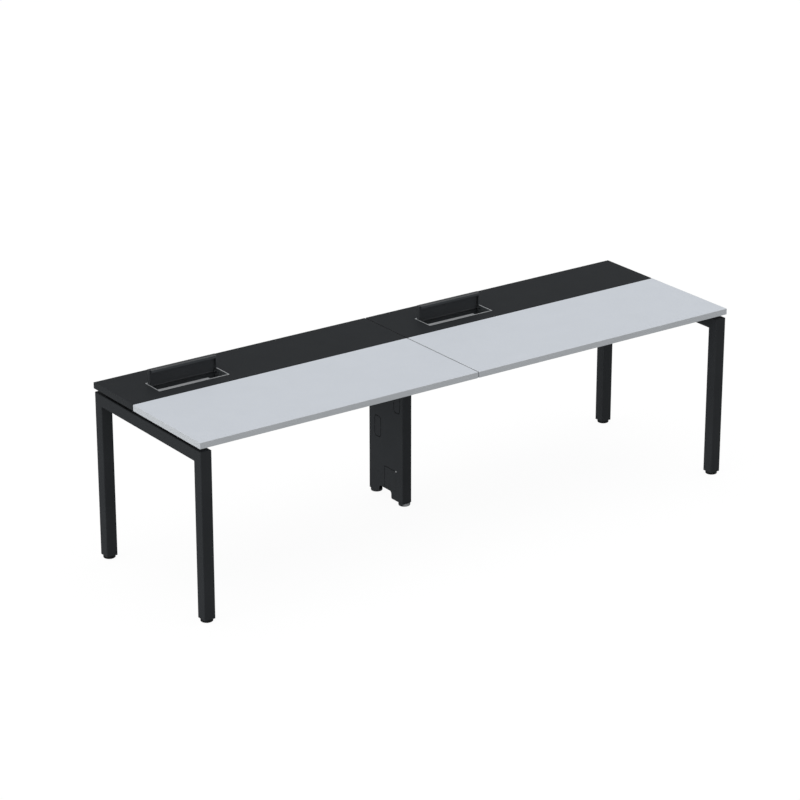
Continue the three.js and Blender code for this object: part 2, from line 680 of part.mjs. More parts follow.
function makeRiserFeet() {
  const x0 = RISER_WALL_X + RISER_SHEET;
  const x1 = RISER_RETURN_X;
  const sheet = RISER_BRACKET_SHEET;
  const top = FOOT_HEIGHT + RISER_BRACKET_HEIGHT;
  const section = new THREE.Shape();
  section.moveTo(x0, FOOT_HEIGHT);
  section.lineTo(x1, FOOT_HEIGHT);
  section.lineTo(x1, top);
  section.lineTo(x1 - sheet, top);
  section.lineTo(x1 - sheet, FOOT_HEIGHT + sheet);
  section.lineTo(x0 + sheet, FOOT_HEIGHT + sheet);
  section.lineTo(x0 + sheet, top);
  section.lineTo(x0, top);
  section.closePath();
  const half = Math.min(RISER_FRONT_FOOT_INSET, RISER_REAR_FOOT_INSET) - RISER_BEND;
  const bush = roundBar(RISER_BUSH_RADIUS, FOOT_HEIGHT + sheet / 2, FOOT_HEIGHT + RISER_BUSH_HEIGHT);
  const bore = roundBar(STUD_BORE_RADIUS, 0, FOOT_HEIGHT + 2 * RISER_BUSH_HEIGHT);
  const bracket = combine([alongY(section, -half, half), bush], [bore]);
  for (const row of ROWS) {
    const y = row.side < 0 ? RISER_FRONT + RISER_FRONT_FOOT_INSET : RISER_REAR - RISER_REAR_FOOT_INSET;
    place(desk, `riser_${row.name}_foot_bracket`, bracket, BLACK_COAT, 0, y, 0);
    makeFoot(`riser_${row.name}`, 0, y, GREY_PLASTIC);
  }
}

// Cable trays under the rear boards: a folded trough hung by its two flanges
function traySection() {
  const half = FLAP_DEPTH / 2 - BEZEL_RIM + TRAY_SIDE_MARGIN + TRAY_SHEET;
  const t = TRAY_SHEET;
  const base = -TRAY_DEPTH;
  const inner = TRAY_BEND - t;
  const section = new THREE.Shape();
  section.moveTo(-half - TRAY_FLANGE, 0);
  section.lineTo(-half - TRAY_FLANGE, -t);
  section.lineTo(-half, -t);
  section.absarc(TRAY_BEND - half, base + TRAY_BEND, TRAY_BEND, Math.PI, 1.5 * Math.PI);
  section.absarc(half - TRAY_BEND, base + TRAY_BEND, TRAY_BEND, 1.5 * Math.PI, 2 * Math.PI);
  section.lineTo(half, -t);
  section.lineTo(half + TRAY_FLANGE, -t);
  section.lineTo(half + TRAY_FLANGE, 0);
  section.lineTo(half - t, 0);
  section.absarc(half - TRAY_BEND, base + TRAY_BEND, inner, 0, -Math.PI / 2, true);
  section.absarc(TRAY_BEND - half, base + TRAY_BEND, inner, -Math.PI / 2, -Math.PI, true);
  section.lineTo(t - half, 0);
  section.closePath();
  return section;
}

function makeTray(seat) {
  const inner = RISER_THICKNESS / 2 + TRAY_RISER_GAP;
  const outer = DESK_LENGTH / 2 - TRAY_OUTER_INSET;
  const length = outer - inner;
  const radius = TRAY_SLOT_WIDTH / 2;
  const slot = roundedRectangle(
    new THREE.Shape(),
    -TRAY_SLOT_LENGTH / 2,
    -radius,
    TRAY_SLOT_LENGTH / 2,
    radius,
    radius,
  );
  const slotCutter = alongZ(slot, -TRAY_DEPTH - TRAY_SHEET, 2 * TRAY_SHEET - TRAY_DEPTH);
  const count = Math.floor(length / TRAY_SLOT_PITCH);
  const cuts = [];
  for (let i = 0; i < count; i += 1) {
    const x = (i - (count - 1) / 2) * TRAY_SLOT_PITCH;
    cuts.push(slotCutter.clone().translate(x, 0, 0));
  }
  const tray = combine([alongX(traySection(), -length / 2, length / 2)], cuts);
  const x = seat.side * (inner + outer) / 2;
  place(desk, `${seat.name}_cable_tray`, tray, BLACK_COAT, x, FLAP_Y, BOARD_BASE);
}

// Cable flaps. The flap's own origin is the middle of its bezel, on the worktop's surface.
const OPENING_HALF_LENGTH = FLAP_LENGTH / 2 - BEZEL_RIM;
const OPENING_FRONT = BEZEL_FRONT_RIM - FLAP_DEPTH / 2;
const OPENING_REAR = FLAP_DEPTH / 2 - BEZEL_REAR_RIM;
const NOTCH_FRONT = NOTCH_RIM - FLAP_DEPTH / 2;
// Open, the lid leans its back on the rear rim
const PIVOT_Y = OPENING_REAR - LID_STOP_CLEARANCE - PIVOT_DEPTH;
const PIVOT_Z = BEZEL_FLANGE - PIVOT_DEPTH;
const LID_HALF_LENGTH = OPENING_HALF_LENGTH - LID_END_CLEARANCE;
// The lid's edges and faces, seen from its pivot, when it lies closed
const LID_FRONT = OPENING_FRONT + LID_CLEARANCE - PIVOT_Y;
const LID_TOP = PIVOT_DEPTH;
const LID_UNDERSIDE = LID_TOP - LID_SHEET;
const LID_RIM_BASE = LID_TOP - LID_RIM_DEPTH;

function bezelOpening() {
  const opening = new THREE.Path();
  const notchLeft = OPENING_HALF_LENGTH - NOTCH_LENGTH;
  opening.moveTo(-OPENING_HALF_LENGTH, OPENING_FRONT);
  opening.lineTo(notchLeft, OPENING_FRONT);
  opening.lineTo(notchLeft, NOTCH_FRONT);
  opening.lineTo(OPENING_HALF_LENGTH, NOTCH_FRONT);
  opening.lineTo(OPENING_HALF_LENGTH, OPENING_REAR);
  opening.lineTo(-OPENING_HALF_LENGTH, OPENING_REAR);
  opening.closePath();
  return opening;
}

function makeBezel() {
  const outline = roundedRectangle(
    new THREE.Shape(),
    -FLAP_LENGTH / 2,
    -FLAP_DEPTH / 2,
    FLAP_LENGTH / 2,
    FLAP_DEPTH / 2,
    BEZEL_CORNER,
  );
  outline.holes.push(bezelOpening());
  const flange = softSlab(outline, 0, BEZEL_FLANGE, BEZEL_ARRIS);

  const skirtOutline = rectangle(-SKIRT_HALF_LENGTH, SKIRT_FRONT, SKIRT_HALF_LENGTH, SKIRT_REAR);
  const skirtHole = rectangle(-OPENING_HALF_LENGTH, NOTCH_FRONT, OPENING_HALF_LENGTH, OPENING_REAR);
  skirtOutline.holes.push(skirtHole);
  const skirt = alongZ(skirtOutline, -BEZEL_SKIRT, BEZEL_FLANGE / 2);

  const ledgeTop = PIVOT_Z + LID_RIM_BASE - LID_STOP_CLEARANCE;
  const ledgeFront = PIVOT_Y + LID_FRONT + LID_CLEARANCE;
  const ledges = [];
  const bores = [];
  for (const side of [-1, 1]) {
    const wall = side * (OPENING_HALF_LENGTH + BEZEL_WALL / 2);
    const ledge = side * (OPENING_HALF_LENGTH - REST_LEDGE_WIDTH);
    ledges.push(block(
      Math.min(wall, ledge),
      Math.max(wall, ledge),
      ledgeFront,
      ledgeFront + REST_LEDGE_LENGTH,
      ledgeTop - REST_LEDGE_HEIGHT,
      ledgeTop,
    ));
    const outside = side * (SKIRT_HALF_LENGTH + BEZEL_WALL);
    const inside = side * (OPENING_HALF_LENGTH - LID_CLEARANCE / 2);
    const x0 = Math.min(outside, inside);
    const x1 = Math.max(outside, inside);
    bores.push(crossBar(PIN_RADIUS + PIN_CLEARANCE, x0, x1, PIVOT_Y, PIVOT_Z));
  }
  return combine([flange, skirt, ...ledges], bores);
}

// The lid is a shallow sheet tray, drawn closed, round its own pivot.
// Its rear edge is rolled round the pins.
function lidSection() {
  const rollEnd = Math.PI / 2 - THREE.MathUtils.degToRad(LID_ROLL_ANGLE);
  const section = new THREE.Shape();
  section.moveTo(LID_FRONT, LID_RIM_BASE);
  section.absarc(LID_FRONT + LID_ARRIS, LID_TOP - LID_ARRIS, LID_ARRIS, Math.PI, Math.PI / 2, true);
  section.absarc(0, 0, LID_TOP, Math.PI / 2, rollEnd, true);
  section.absarc(0, 0, LID_UNDERSIDE, rollEnd, Math.PI / 2);
  section.lineTo(LID_FRONT + LID_SHEET, LID_UNDERSIDE);
  section.lineTo(LID_FRONT + LID_SHEET, LID_RIM_BASE);
  section.closePath();
  return section;
}

// The finger lip goes on down from the front rim and hooks back under the lid
function lipSection() {
  const front = LID_FRONT + LID_LIP_STEP;
  const base = LID_TOP - LID_LIP_DEPTH;
  const root = LID_RIM_BASE + LID_SHEET;
  const section = new THREE.Shape();
  section.moveTo(front, root);
  section.lineTo(front, base);
  section.lineTo(front + LID_HOOK, base);
  section.lineTo(front + LID_HOOK, base + LID_SHEET);
  section.lineTo(front + LID_SHEET, base + LID_SHEET);
  section.lineTo(front + LID_SHEET, root);
  section.closePath();
  return section;
}

function makeLid() {
  const lipHalf = LID_HALF_LENGTH - LID_LIP_END_INSET;
  const parts = [
    alongX(lidSection(), -LID_HALF_LENGTH, LID_HALF_LENGTH, WIDE_CORNER_STEPS),
    alongX(lipSection(), -lipHalf, lipHalf),
  ];
  const bores = [];
  for (const side of [-1, 1]) {
    const outer = side * LID_HALF_LENGTH;
    const inner = side * (LID_HALF_LENGTH - LUG_LENGTH);
    const x0 = Math.min(outer, inner);
    const x1 = Math.max(outer, inner);
    parts.push(crossBar(LUG_RADIUS, x0, x1, 0, 0));
    parts.push(block(x0, x1, -LUG_RADIUS, 0, 0, LID_UNDERSIDE + LID_SHEET / 2));
    const rimOuter = side * (LID_HALF_LENGTH - LID_RIM_STEP);
    const rimInner = side * (LID_HALF_LENGTH - LID_RIM_STEP - LID_SHEET);
    parts.push(block(
      Math.min(rimOuter, rimInner),
      Math.max(rimOuter, rimInner),
      LID_FRONT + LID_SHEET / 2,
      -LUG_RADIUS - LID_SHEET,
      LID_RIM_BASE + LID_RIM_STEP,
      LID_UNDERSIDE + LID_SHEET / 2,
    ));
    bores.push(crossBar(PIN_RADIUS + PIN_CLEARANCE, x0 - LUG_LENGTH, x1 + LUG_LENGTH, 0, 0));
  }
  return combine(parts, bores);
}

function makeFlap(seat) {
  const flap = new THREE.Group();
  flap.position.set(flapCentreX(seat), FLAP_Y, DESK_HEIGHT);
  desk.add(flap);
  place(flap, `${seat.name}_flap_bezel`, makeBezel(), BARE_ALUMINIUM);

  const hinge = new THREE.Group();
  hinge.position.set(0, PIVOT_Y, PIVOT_Z);
  flap.add(hinge);
  const pinOuter = SKIRT_HALF_LENGTH;
  const pinInner = LID_HALF_LENGTH - LUG_LENGTH;
  place(hinge, `${seat.name}_flap_left_pin`, crossBar(PIN_RADIUS, -pinOuter, -pinInner, 0, 0), PLATED_STEEL);
  place(hinge, `${seat.name}_flap_right_pin`, crossBar(PIN_RADIUS, pinInner, pinOuter, 0, 0), PLATED_STEEL);

  // The lid stands open, turned back a quarter turn
  const lid = place(hinge, `${seat.name}_flap_lid`, makeLid(), DARK_ALUMINIUM);
  lid.rotation.x = -Math.PI / 2;
}

for (const seat of SEATS) {
  makeBoards(seat);
  makeEndFrame(seat);
  makeEndRail(seat);
  makeBeams(seat);
  makeLegFeet(seat);
  makeTray(seat);
  makeFlap(seat);
}
makeMidTube();
makeRiser();
makeRiserFeet();

export default desk;
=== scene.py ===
# %% [markdown]
# This is a benching desk for two people, who sit side by side. Each has a pale grey worktop in front, and
# behind it a black strip with a flip-up cable flap. Square black tubes carry the desk at its ends, and a
# riser folded from sheet steel carries it in the middle and brings the cables up from the floor.
# All of it could be modelled here from nothing. But a frame with its pieces at their real size, in metres,
# is already built, and its lids and feet already move. So that frame is loaded, and Blender adds what it
# leaves plain: the finishes, the light, and small metalwork such as threads, screws and welds.

import json
import math

import bpy
from mathutils import Color, Matrix, Vector


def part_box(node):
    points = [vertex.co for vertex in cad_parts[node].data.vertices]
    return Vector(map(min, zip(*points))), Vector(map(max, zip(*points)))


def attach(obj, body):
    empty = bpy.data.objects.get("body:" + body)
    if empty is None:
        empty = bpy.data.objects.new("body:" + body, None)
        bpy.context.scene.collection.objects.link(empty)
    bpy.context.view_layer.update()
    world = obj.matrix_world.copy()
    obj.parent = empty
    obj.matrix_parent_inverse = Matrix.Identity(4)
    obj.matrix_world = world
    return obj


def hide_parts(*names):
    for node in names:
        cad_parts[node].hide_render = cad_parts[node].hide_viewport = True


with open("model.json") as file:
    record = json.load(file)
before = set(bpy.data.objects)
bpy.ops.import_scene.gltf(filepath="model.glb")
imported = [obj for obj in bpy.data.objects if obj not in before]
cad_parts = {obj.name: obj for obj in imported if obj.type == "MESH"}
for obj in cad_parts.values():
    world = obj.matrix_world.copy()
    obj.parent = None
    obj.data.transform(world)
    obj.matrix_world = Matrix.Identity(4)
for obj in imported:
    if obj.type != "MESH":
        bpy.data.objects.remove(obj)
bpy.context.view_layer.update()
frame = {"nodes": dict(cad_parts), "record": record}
nodes = frame["nodes"]
scene = bpy.context.scene

# %% [markdown]
# The desk is seen from the sitter's left, a little from above, through a long lens, so that its far
# end hardly shrinks. A camera could be aimed at an empty with a Track To constraint, but a place and
# two turns say the same with nothing else in the scene. A camera looks down its own -Z axis: the tilt
# lifts that axis from the floor up to the desk, and the turn swings it to the right.

# %% The camera
LENS_MM = 136.7
SENSOR_MM = 36.0
CAMERA_PLACE = (-6.8315, -9.4261, 5.0029)
LOOK_DOWN = math.radians(21.12)
LOOK_RIGHT = math.radians(35.52)

lens = bpy.data.cameras.new("camera")
lens.lens = LENS_MM
lens.sensor_width = SENSOR_MM
camera = bpy.data.objects.new("camera", lens)
camera.location = CAMERA_PLACE
camera.rotation_euler = (math.pi / 2 - LOOK_DOWN, 0.0, -LOOK_RIGHT)
scene.collection.objects.link(camera)
scene.camera = camera
print(f"camera {Vector(CAMERA_PLACE).length:.2f} m from the desk's origin")

# %% [markdown]
# The desk stands on white in even studio light. A very bright world would give a white picture, but it
# would also bleach the worktops. So the Light Path node splits the rays in two kinds. Rays that end in
# the picture, straight or by a reflection, find plain white. Rays that only carry light from surface to
# surface find a much dimmer sky, and that sky is what lights the desk.

# %% Two kinds of rays
PICTURE_RAYS = ("Is Camera Ray", "Is Glossy Ray", "Is Transmission Ray")


def picture_ray(tree):
    """1 for a ray that ends in the picture: seen straight, mirrored or through glass. Otherwise 0."""
    path = tree.nodes.new("ShaderNodeLightPath")
    straight, *bent = PICTURE_RAYS
    found = path.outputs[straight]
    for kind in bent:
        either = tree.nodes.new("ShaderNodeMath")
        either.operation = "MAXIMUM"
        tree.links.new(found, either.inputs[0])
        tree.links.new(path.outputs[kind], either.inputs[1])
        found = either.outputs["Value"]
    return found


def by_ray(tree, lighting, shown, out):
    """Sends one shader to the rays that carry light and another to the rays that end in the picture."""
    mix = tree.nodes.new("ShaderNodeMixShader")
    tree.links.new(picture_ray(tree), mix.inputs["Fac"])
    tree.links.new(lighting, mix.inputs[1])
    tree.links.new(shown, mix.inputs[2])
    tree.links.new(mix.outputs["Shader"], out.inputs["Surface"])


print("rays that end in the picture:", ", ".join(PICTURE_RAYS))

# %% The sky
SKY_LIGHT = 0.45
SHOWN_SKY = 1.0
WHITE = (1.0, 1.0, 1.0, 1.0)


def sky_shader(tree, strength):
    sky = tree.nodes.new("ShaderNodeBackground")
    sky.inputs["Color"].default_value = WHITE
    sky.inputs["Strength"].default_value = strength
    return sky.outputs["Background"]


scene.view_settings.view_transform = "Standard"
world = bpy.data.worlds.new("white_studio")
world.use_nodes = True
world_tree = world.node_tree
world_tree.nodes.clear()
world_out = world_tree.nodes.new("ShaderNodeOutputWorld")
by_ray(world_tree, sky_shader(world_tree, SKY_LIGHT), sky_shader(world_tree, SHOWN_SKY), world_out)
scene.world = world
print(f"sky light {SKY_LIGHT}, and {SHOWN_SKY} in the picture")

# %% [markdown]
# The floor is one wide sheet just under the feet. In the picture it glows almost white, and a thin share
# of ordinary paint is added to the glow, so that the desk still leaves a soft shadow on it. To the rays
# that carry light it is a matt floor with a glow of its own, which throws light up under the worktops, as
# a lit studio floor does. Paint alone would leave the riser too dark, because it stands in the shadow.

# %% The floor's sheet
FLOOR_HALF = 30.0
FLOOR_DROP = 0.0005

corners = [(-1, -1), (1, -1), (1, 1), (-1, 1)]
floor_points = [(FLOOR_HALF * x, FLOOR_HALF * y, -FLOOR_DROP) for x, y in corners]
floor_mesh = bpy.data.meshes.new("floor")
floor_mesh.from_pydata(floor_points, [], [(0, 1, 2, 3)])
floor = bpy.data.objects.new("floor", floor_mesh)
scene.collection.objects.link(floor)
print(f"floor {2 * FLOOR_HALF:.0f} m wide")

# %% The floor's paint
FLOOR_GLOW = 0.945
FLOOR_SHADOW_SHARE = 0.065
FLOOR_UPLIGHT = 0.5
FLOOR_BOUNCE = 0.22


def lit_paint(tree, glow_level, paint_level):
    """A matt paint with a glow added to it."""
    glow = tree.nodes.new("ShaderNodeEmission")
    glow.inputs["Strength"].default_value = glow_level
    matt = tree.nodes.new("ShaderNodeBsdfDiffuse")
    matt.inputs["Color"].default_value = (paint_level, paint_level, paint_level, 1.0)
    both = tree.nodes.new("ShaderNodeAddShader")
    tree.links.new(glow.outputs["Emission"], both.inputs[0])
    tree.links.new(matt.outputs["BSDF"], both.inputs[1])
    return both.outputs["Shader"]


floor_paint = bpy.data.materials.new("floor_paint")
floor_paint.use_nodes = True
floor_tree = floor_paint.node_tree
floor_tree.nodes.clear()
floor_out = floor_tree.nodes.new("ShaderNodeOutputMaterial")
uplight = lit_paint(floor_tree, FLOOR_UPLIGHT, FLOOR_BOUNCE)
white_floor = lit_paint(floor_tree, FLOOR_GLOW, FLOOR_SHADOW_SHARE)
by_ray(floor_tree, uplight, white_floor, floor_out)
floor_mesh.materials.append(floor_paint)
print(f"floor glow {FLOOR_GLOW} in the picture, {FLOOR_UPLIGHT} up under the desk")

# %% [markdown]
# On the real desk the tops and the faces at the left end are about equally bright, and the long front
# faces get half as much. Area lamps near the desk would fall off along its length, so two suns do it:
# their rays are parallel, and a wide angle makes their shadows soft. A sun of strength pi lights a face
# square to it at full level, so each lamp is given as a share of that. The sun on the left stands so low
# that its mirror image would lie across the worktops, seen from the right, as a white glare. A studio hides
# such a lamp behind a screen. Here the lamp is switched off for glossy rays, and its light stays.

# %% The lamps
OVERHEAD_SHARE = 0.49
OVERHEAD_SPREAD = math.radians(60.0)
LEFT_SHARE = 0.48
LEFT_SPREAD = math.radians(24.0)
LEFT_HEIGHT = math.radians(6.0)


def add_sun(name, share, spread, rotation):
    sun = bpy.data.lights.new(name, "SUN")
    sun.energy = share * math.pi
    sun.angle = spread
    lamp = bpy.data.objects.new(name, sun)
    lamp.rotation_euler = rotation
    scene.collection.objects.link(lamp)
    return lamp


add_sun("overhead_sun", OVERHEAD_SHARE, OVERHEAD_SPREAD, (0.0, 0.0, 0.0))
left_sun = add_sun("left_sun", LEFT_SHARE, LEFT_SPREAD, (0.0, LEFT_HEIGHT - math.pi / 2, 0.0))
left_sun.visible_glossy = False
print(f"overhead {OVERHEAD_SHARE}, from the left {LEFT_SHARE}")

# %% [markdown]
# Every finish here is one Principled shader whose colour, roughness and relief follow patterns of noise.
# The patterns are placed by Object coordinates, which count in metres on the piece itself, so a grain of
# half a millimetre is just that, and it stays put when a lid or a foot moves. Image textures could do the
# same, but noise has no seams and needs no unwrapping. Colours are written as on a screen, from 0 to 255,
# and Blender turns them into the linear values that its sockets take.

# %% Colours
SCREEN_WHITE = 255.0


def screen_colour(red, green, blue):
    shown = Color((red / SCREEN_WHITE, green / SCREEN_WHITE, blue / SCREEN_WHITE))
    return (*shown.from_srgb_to_scene_linear(), 1.0)


half_white = [SCREEN_WHITE / 2] * 3
print(f"half of the screen's white is {screen_colour(*half_white)[0]:.3f} of its light")

# %% A finish and its grain
finishes = {}


def start_finish(name, constants):
    """A new material with one Principled shader. The constants are set on the shader's own sockets."""
    finish = bpy.data.materials.new(name)
    finish.use_nodes = True
    finishes[name] = finish
    tree = finish.node_tree
    tree.nodes.clear()
    shader = tree.nodes.new("ShaderNodeBsdfPrincipled")
    out = tree.nodes.new("ShaderNodeOutputMaterial")
    tree.links.new(shader.outputs["BSDF"], out.inputs["Surface"])
    for socket, value in constants.items():
        shader.inputs[socket].default_value = value
    return tree, shader


def grain(tree, size, stretch=(1.0, 1.0, 1.0), detail=2.0):
    """Soft spots of about one size in metres, drawn out along X, Y or Z by the stretch."""
    place = tree.nodes.new("ShaderNodeTexCoord")
    fit = tree.nodes.new("ShaderNodeMapping")
    noise = tree.nodes.new("ShaderNodeTexNoise")
    fit.inputs["Scale"].default_value = [1.0 / (size * along) for along in stretch]
    noise.inputs["Scale"].default_value = 1.0
    noise.inputs["Detail"].default_value = detail
    tree.links.new(place.outputs["Object"], fit.inputs["Vector"])
    tree.links.new(fit.outputs["Vector"], noise.inputs["Vector"])
    return noise.outputs["Fac"]


print(f"{len(finishes)} finishes so far")

# %% What a pattern steers
NOISE_LOW = 0.3
NOISE_HIGH = 0.7


def together(tree, first, second, share):
    """Two patterns laid over each other; the share is the second one's."""
    mix = tree.nodes.new("ShaderNodeMix")
    mix.inputs["Factor"].default_value = share
    tree.links.new(first, mix.inputs["A"])
    tree.links.new(second, mix.inputs["B"])
    return mix.outputs["Result"]


def colour_by(tree, shader, pattern, low, high):
    ramp = tree.nodes.new("ShaderNodeValToRGB")
    for end, position, colour in zip(ramp.color_ramp.elements, (NOISE_LOW, NOISE_HIGH), (low, high)):
        end.position = position
        end.color = screen_colour(*colour)
    tree.links.new(pattern, ramp.inputs["Fac"])
    tree.links.new(ramp.outputs["Color"], shader.inputs["Base Color"])


def roughness_by(tree, shader, pattern, low, high):
    spread = tree.nodes.new("ShaderNodeMapRange")
    spread.inputs["From Min"].default_value = NOISE_LOW
    spread.inputs["From Max"].default_value = NOISE_HIGH
    spread.inputs["To Min"].default_value = low
    spread.inputs["To Max"].default_value = high
    tree.links.new(pattern, spread.inputs["Value"])
    tree.links.new(spread.outputs["Result"], shader.inputs["Roughness"])


def relief_by(tree, shader, pattern, height):
    bump = tree.nodes.new("ShaderNodeBump")
    bump.inputs["Distance"].default_value = height
    tree.links.new(pattern, bump.inputs["Height"])
    tree.links.new(bump.outputs["Normal"], shader.inputs["Normal"])


print(f"noise counts from {NOISE_LOW} to {NOISE_HIGH}, where most of its values lie")

# %% [markdown]
# The boards are chipboard faced with printed melamine, pressed against a plate with a fine pearl texture.
# It looks plain from afar, but close by it is a field of tiny bumps that scatter the light. One flat colour
# would do for the view from afar, and would look like paper close by. So a noise of about half a
# millimetre gives the bumps, and a wide, weak one keeps the colour from being dead flat. The shine is
# kept low, because a worktop that mirrored the white room would lose its colour.

# %% The laminate tops
PEARL = 0.0006
PEARL_HEIGHT = 0.00004
PEARL_SHARE = 0.6
CLOUD = 0.09
LAMINATE_ROUGHNESS = (0.5, 0.68)


def laminate(name, low, high, shine):
    tree, shader = start_finish(name, {"Specular IOR Level": shine})
    pearl = grain(tree, PEARL, detail=3.0)
    cloud = grain(tree, CLOUD)
    colour_by(tree, shader, together(tree, cloud, pearl, PEARL_SHARE), low, high)
    roughness_by(tree, shader, pearl, *LAMINATE_ROUGHNESS)
    relief_by(tree, shader, pearl, PEARL_HEIGHT)


laminate("grey_laminate", low=(194, 199, 206), high=(198, 203, 210), shine=0.2)
laminate("black_laminate", low=(38, 40, 42), high=(41, 43, 45), shine=0.012)
print(f"two laminates, with a pearl of {1000 * PEARL:.1f} mm")

# %% [markdown]
# A strip of plastic, 2 mm thick, is glued round each board and its corners are scraped round. The strip
# is extruded, so it has faint lines along its length. A pattern for each side of a board could draw them,
# but one will do: all the bands lie level, so lines that change only with height run along every side at
# once. The noise is stretched far in X and Y and left fine in Z.

# %% The edge bands
DRAWN_LINE = 0.0004
DRAWN_LENGTH = 2000.0
DRAWN_LINE_HEIGHT = 0.00001
DRAWN_LINE_SHARE = 0.4
BAND_ROUGHNESS = (0.42, 0.55)


def edge_band(name, low, high, shine):
    tree, shader = start_finish(name, {"Specular IOR Level": shine})
    lines = grain(tree, DRAWN_LINE, stretch=(DRAWN_LENGTH, DRAWN_LENGTH, 1.0))
    cloud = grain(tree, CLOUD)
    colour_by(tree, shader, together(tree, cloud, lines, DRAWN_LINE_SHARE), low, high)
    roughness_by(tree, shader, lines, *BAND_ROUGHNESS)
    relief_by(tree, shader, lines, DRAWN_LINE_HEIGHT)


edge_band("grey_edge_band", low=(180, 184, 188), high=(186, 190, 194), shine=0.15)
edge_band("black_edge_band", low=(40, 42, 44), high=(45, 47, 49), shine=0.02)
print(f"two edge bands, with lines of {1000 * DRAWN_LINE:.1f} mm")

# %% [markdown]
# Tubes, beams, trays and riser are steel, sprayed with black powder and baked. The powder melts into a
# skin with a fine peel, a bit under a millimetre from bump to bump, and its gloss changes a little with
# its thickness. A picture of such a skin would repeat along a beam, and noise doesn't. Two noises do it: a
# fine one for the peel, and a wide one for thicker and thinner spray. The rails between the frames and the
# boards lie in a narrow gap, and they get a near-black finish as painted shade: the deep shade of that
# gap is painted onto them, so the gap shows as a black line.

# %% The powder coat, and the painted shade on the rails
PEEL = 0.0009
PEEL_HEIGHT = 0.00005
PEEL_SHARE = 0.4
PEEL_ROUGHNESS_SHARE = 0.5
SPRAY = 0.12
COAT_ROUGHNESS = (0.6, 0.78)


def steel_coat(name, low, high, shine):
    tree, shader = start_finish(name, {"Specular IOR Level": shine})
    peel = grain(tree, PEEL, detail=1.0)
    spray = grain(tree, SPRAY)
    colour_by(tree, shader, together(tree, spray, peel, PEEL_SHARE), low, high)
    roughness_by(tree, shader, together(tree, spray, peel, PEEL_ROUGHNESS_SHARE), *COAT_ROUGHNESS)
    relief_by(tree, shader, peel, PEEL_HEIGHT)


steel_coat("black_coat", low=(44, 46, 48), high=(49, 51, 53), shine=0.02)
# Painted shade: the rails' near-black stands for the shadow in the gap under the boards.
steel_coat("shadow_gap_shade", low=(9, 9, 10), high=(13, 13, 14), shine=0.01)
print(f"two coats, with a peel of {1000 * PEEL:.1f} mm")

# %% [markdown]
# The flap's bezel is satin aluminium left in its own colour, and its lid is the same metal coated dark
# grey. Both are brushed lengthwise, along X. The Principled shader's anisotropy would stretch the
# reflections as brushing does, but it has no lines to show close by. So a stretched noise gives the brush
# lines: they tilt the surface a little, and they carry slightly brighter and duller streaks.

# %% The aluminium of the flaps
BRUSH_LINE = 0.00035
BRUSH_LENGTH = 160.0
BRUSH_HEIGHT = 0.000012
BRUSH_SHARE = 0.6


def brushed(name, low, high, roughness, constants):
    tree, shader = start_finish(name, constants)
    brush = grain(tree, BRUSH_LINE, stretch=(BRUSH_LENGTH, 1.0, 1.0), detail=3.0)
    cloud = grain(tree, CLOUD)
    colour_by(tree, shader, together(tree, cloud, brush, BRUSH_SHARE), low, high)
    roughness_by(tree, shader, brush, *roughness)
    relief_by(tree, shader, brush, BRUSH_HEIGHT)


bare = {"Metallic": 0.55, "Specular IOR Level": 0.2}
coated = {"Metallic": 0.0, "Specular IOR Level": 0.1}
brushed("bare_aluminium", low=(138, 140, 142), high=(150, 152, 154), roughness=(0.45, 0.6), constants=bare)
brushed("dark_aluminium", low=(72, 75, 78), high=(78, 81, 84), roughness=(0.4, 0.52), constants=coated)
print(f"two kinds of aluminium, with brush lines {1000 * BRUSH_LINE * BRUSH_LENGTH:.0f} mm long")

# %% [markdown]
# Only the bezel's rim on the worktop shows its bare colour. Below it the walls are painted a darker grey,
# as painted shade inside the flap's opening. On the lid the brush reaches only the two broad faces, and
# the ends and edges are painted darker, as painted shade on faces that catch more light. Each mesh could
# be split and given two materials, but a mask leaves the piece whole. The bezel's mask goes by height, just
# above the worktop. The lid's mask goes by direction: on the open lid the broad faces are the ones whose
# normal points along Y, and the normal is the piece's own, so the mask turns with the lid.

# %% The bezel's walls, painted darker as shade
WALL_PAINTED_SHADE_COLOUR = (88, 92, 95)
# Heights above the worktop
RIM_FADE_STARTS = 0.0008
RIM_FADE_ENDS = 0.0002


def place_along(tree, axis):
    """How far a point lies along X, Y or Z, in metres."""
    place = tree.nodes.new("ShaderNodeTexCoord")
    axes = tree.nodes.new("ShaderNodeSeparateXYZ")
    tree.links.new(place.outputs["Object"], axes.inputs["Vector"])
    return axes.outputs[axis]


def lead_over(finish, pattern, start, end, colour):
    """Leads the base colour over into another one, as the pattern goes from the start to the end value."""
    tree = finish.node_tree
    shader = next(node for node in tree.nodes if node.type == "BSDF_PRINCIPLED")
    before = shader.inputs["Base Color"].links[0].from_socket
    share = tree.nodes.new("ShaderNodeMapRange")
    share.inputs["From Min"].default_value = start
    share.inputs["From Max"].default_value = end
    mix = tree.nodes.new("ShaderNodeMixRGB")
    mix.inputs["Color2"].default_value = screen_colour(*colour)
    tree.links.new(pattern, share.inputs["Value"])
    tree.links.new(share.outputs["Result"], mix.inputs["Fac"])
    tree.links.new(before, mix.inputs["Color1"])
    tree.links.new(mix.outputs["Color"], shader.inputs["Base Color"])


bezel_finish = finishes["bare_aluminium"]
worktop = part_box("left_rear_board")[1].z
height = place_along(bezel_finish.node_tree, "Z")
# Below the worktop the walls take a darker grey: painted shade inside the flap's opening.
lead_over(bezel_finish, height, worktop + RIM_FADE_STARTS, worktop + RIM_FADE_ENDS, WALL_PAINTED_SHADE_COLOUR)
print(f"bezel bare from {1000 * (worktop + RIM_FADE_STARTS):.1f} mm up")

# %% The lid's ends and edges, painted darker as shade
LID_PAINTED_SHADE_COLOUR = (50, 52, 54)
# Cosines of the angle between a face's normal and Y
BROAD_FACE_FROM = 0.95
EDGE_FROM = 0.75


